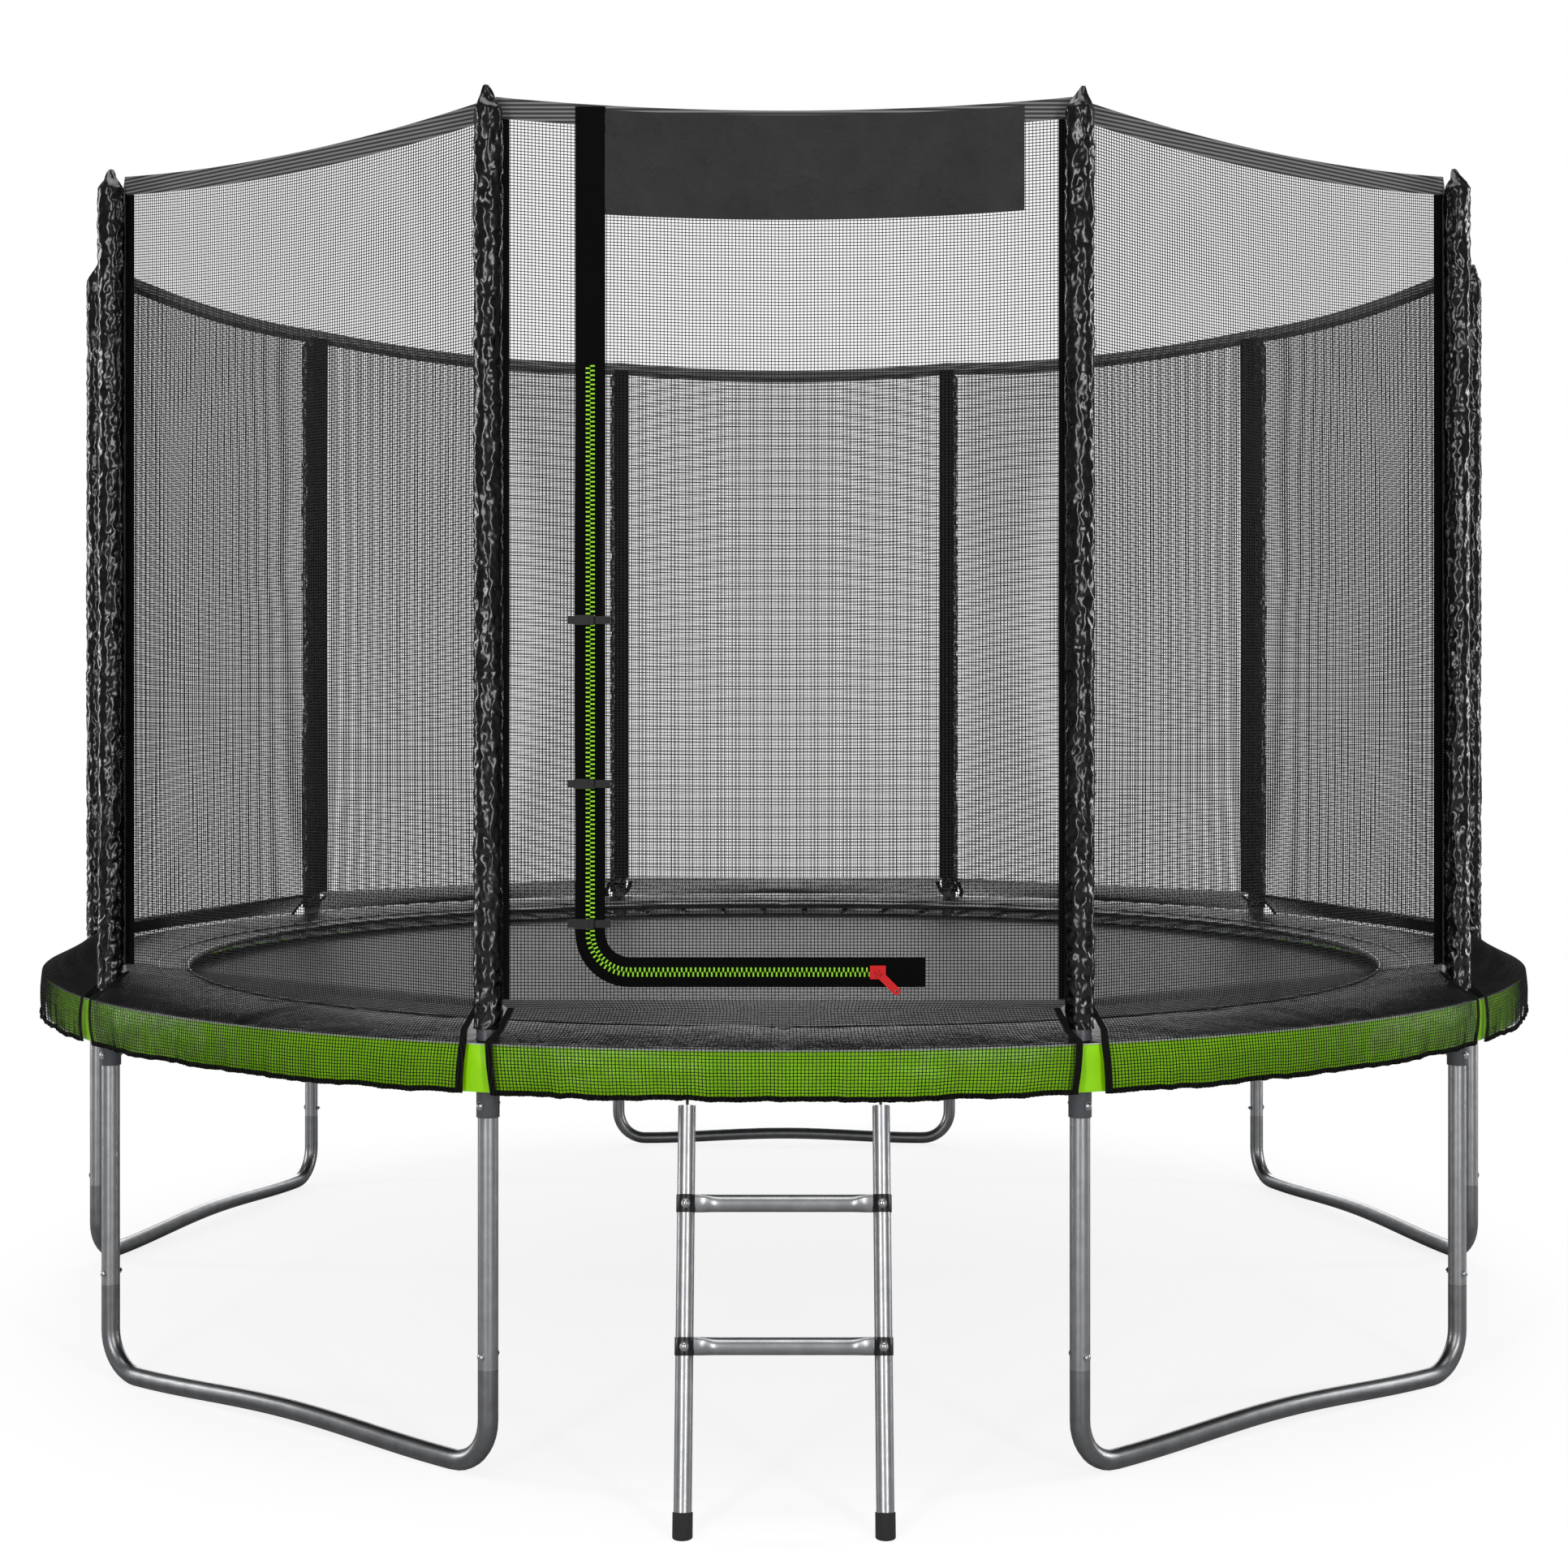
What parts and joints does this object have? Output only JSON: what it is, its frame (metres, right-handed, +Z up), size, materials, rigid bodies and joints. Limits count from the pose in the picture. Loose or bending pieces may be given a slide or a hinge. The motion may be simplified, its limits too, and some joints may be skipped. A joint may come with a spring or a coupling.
{
  "type": "backyard trampoline",
  "caption": "Round trampoline with curved steel rails, U-shaped leg bases, padded poles, enclosure net with zip door, spring mat, green-edged black pad and hook-on ladder.",
  "frame": {"origin": "on the ground, under the centre of the jumping mat", "axes": "+Z up; -Y towards the door and the ladder; +X to the right of someone who faces the door"},
  "size_m": [3.7, 3.9052, 2.632],
  "materials": {
    "galvanised_steel": "zinc-coated steel tube, satin",
    "pole_sleeve": "glossy crinkled black PVC over foam",
    "mat_fabric": "woven polypropylene, black",
    "spring_steel": "zinc-plated spring wire",
    "pad_top_vinyl": "black PVC-coated cloth, semi-gloss",
    "pad_edge_vinyl": "lime green PVC-coated cloth, semi-gloss",
    "netting": "knotless polyethylene netting, black",
    "zip_tape": "black woven tape with green nylon teeth",
    "banner_cloth": "plain dark grey polyester cloth",
    "red_plastic": "red moulded plastic",
    "black_plastic": "black moulded acetal",
    "foot_rubber": "black rubber cap"
  },
  "bodies": {
    "root": {"top_rail_1": "galvanised_steel", "top_rail_2": "galvanised_steel", "top_rail_3": "galvanised_steel", "top_rail_4": "galvanised_steel", "top_rail_5": "galvanised_steel", "top_rail_6": "galvanised_steel", "top_rail_7": "galvanised_steel", "top_rail_8": "galvanised_steel", "top_rail_9": "galvanised_steel", "top_rail_10": "galvanised_steel", "leg_upright_1": "galvanised_steel", "leg_upright_2": "galvanised_steel", "leg_upright_3": "galvanised_steel", "leg_upright_4": "galvanised_steel", "leg_upright_5": "galvanised_steel", "leg_upright_6": "galvanised_steel", "leg_upright_7": "galvanised_steel", "leg_upright_8": "galvanised_steel", "leg_upright_9": "galvanised_steel", "leg_upright_10": "galvanised_steel", "leg_base_1": "galvanised_steel", "leg_base_2": "galvanised_steel", "leg_base_3": "galvanised_steel", "leg_base_4": "galvanised_steel", "leg_base_5": "galvanised_steel", "padded_pole_1": "pole_sleeve", "padded_pole_2": "pole_sleeve", "padded_pole_3": "pole_sleeve", "padded_pole_4": "pole_sleeve", "padded_pole_5": "pole_sleeve", "padded_pole_6": "pole_sleeve", "padded_pole_7": "pole_sleeve", "padded_pole_8": "pole_sleeve", "padded_pole_9": "pole_sleeve", "padded_pole_10": "pole_sleeve", "spring_set": "spring_steel", "frame_pad": "pad_top_vinyl", "pad_skirt": "pad_edge_vinyl", "net_front_panel": "netting", "net_left": "netting", "net_back": "netting", "net_right": "netting", "door_zip": "zip_tape", "banner": "banner_cloth", "buckle_socket_1": "black_plastic", "buckle_socket_2": "black_plastic", "buckle_socket_3": "black_plastic"},
    "mat": {"jump_mat": "mat_fabric"},
    "ladder": {"ladder_rail_left": "galvanised_steel", "ladder_rail_right": "galvanised_steel", "ladder_rung_upper": "galvanised_steel", "ladder_rung_lower": "galvanised_steel", "ladder_foot_left": "foot_rubber", "ladder_foot_right": "foot_rubber"},
    "slider": {"zip_slider": "red_plastic"},
    "pull": {"zip_pull": "red_plastic"},
    "clip_1": {"buckle_clip_1": "black_plastic"},
    "clip_2": {"buckle_clip_2": "black_plastic"},
    "clip_3": {"buckle_clip_3": "black_plastic"}
  },
  "joints": [
    {"name": "mat_bounce", "type": "slide", "parent": "root", "child": "mat", "axis": [0, 0, 1], "range_m": [-0.25, 0], "stiffness_N_per_m": 4500, "springref_m": 0.00399, "deforming": ["spring_set"]},
    {"name": "ladder_swing", "type": "hinge", "parent": "root", "child": "ladder", "pos_m": [0, -1.80022, 0.785], "axis": [-1, 0, 0], "range_deg": [0, 40], "deforming": ["pad_skirt"]},
    {"name": "zip_slide", "type": "slide", "parent": "root", "child": "slider", "axis": [1, 0, 0], "range_m": [-0.43, 0]},
    {"name": "zip_pull_swing", "type": "hinge", "parent": "slider", "child": "pull", "pos_m": [0.17826, -1.70206, 0.95298], "axis": [-0.7071, 0, -0.7071], "range_deg": [0, 120]},
    {"name": "buckle_release_1", "type": "slide", "parent": "root", "child": "clip_1", "axis": [1, 0, 0], "range_m": [0, 0.03]},
    {"name": "buckle_release_2", "type": "slide", "parent": "root", "child": "clip_2", "axis": [1, 0, 0], "range_m": [0, 0.03]},
    {"name": "buckle_release_3", "type": "slide", "parent": "root", "child": "clip_3", "axis": [1, 0, 0], "range_m": [0, 0.03]}
  ]
}
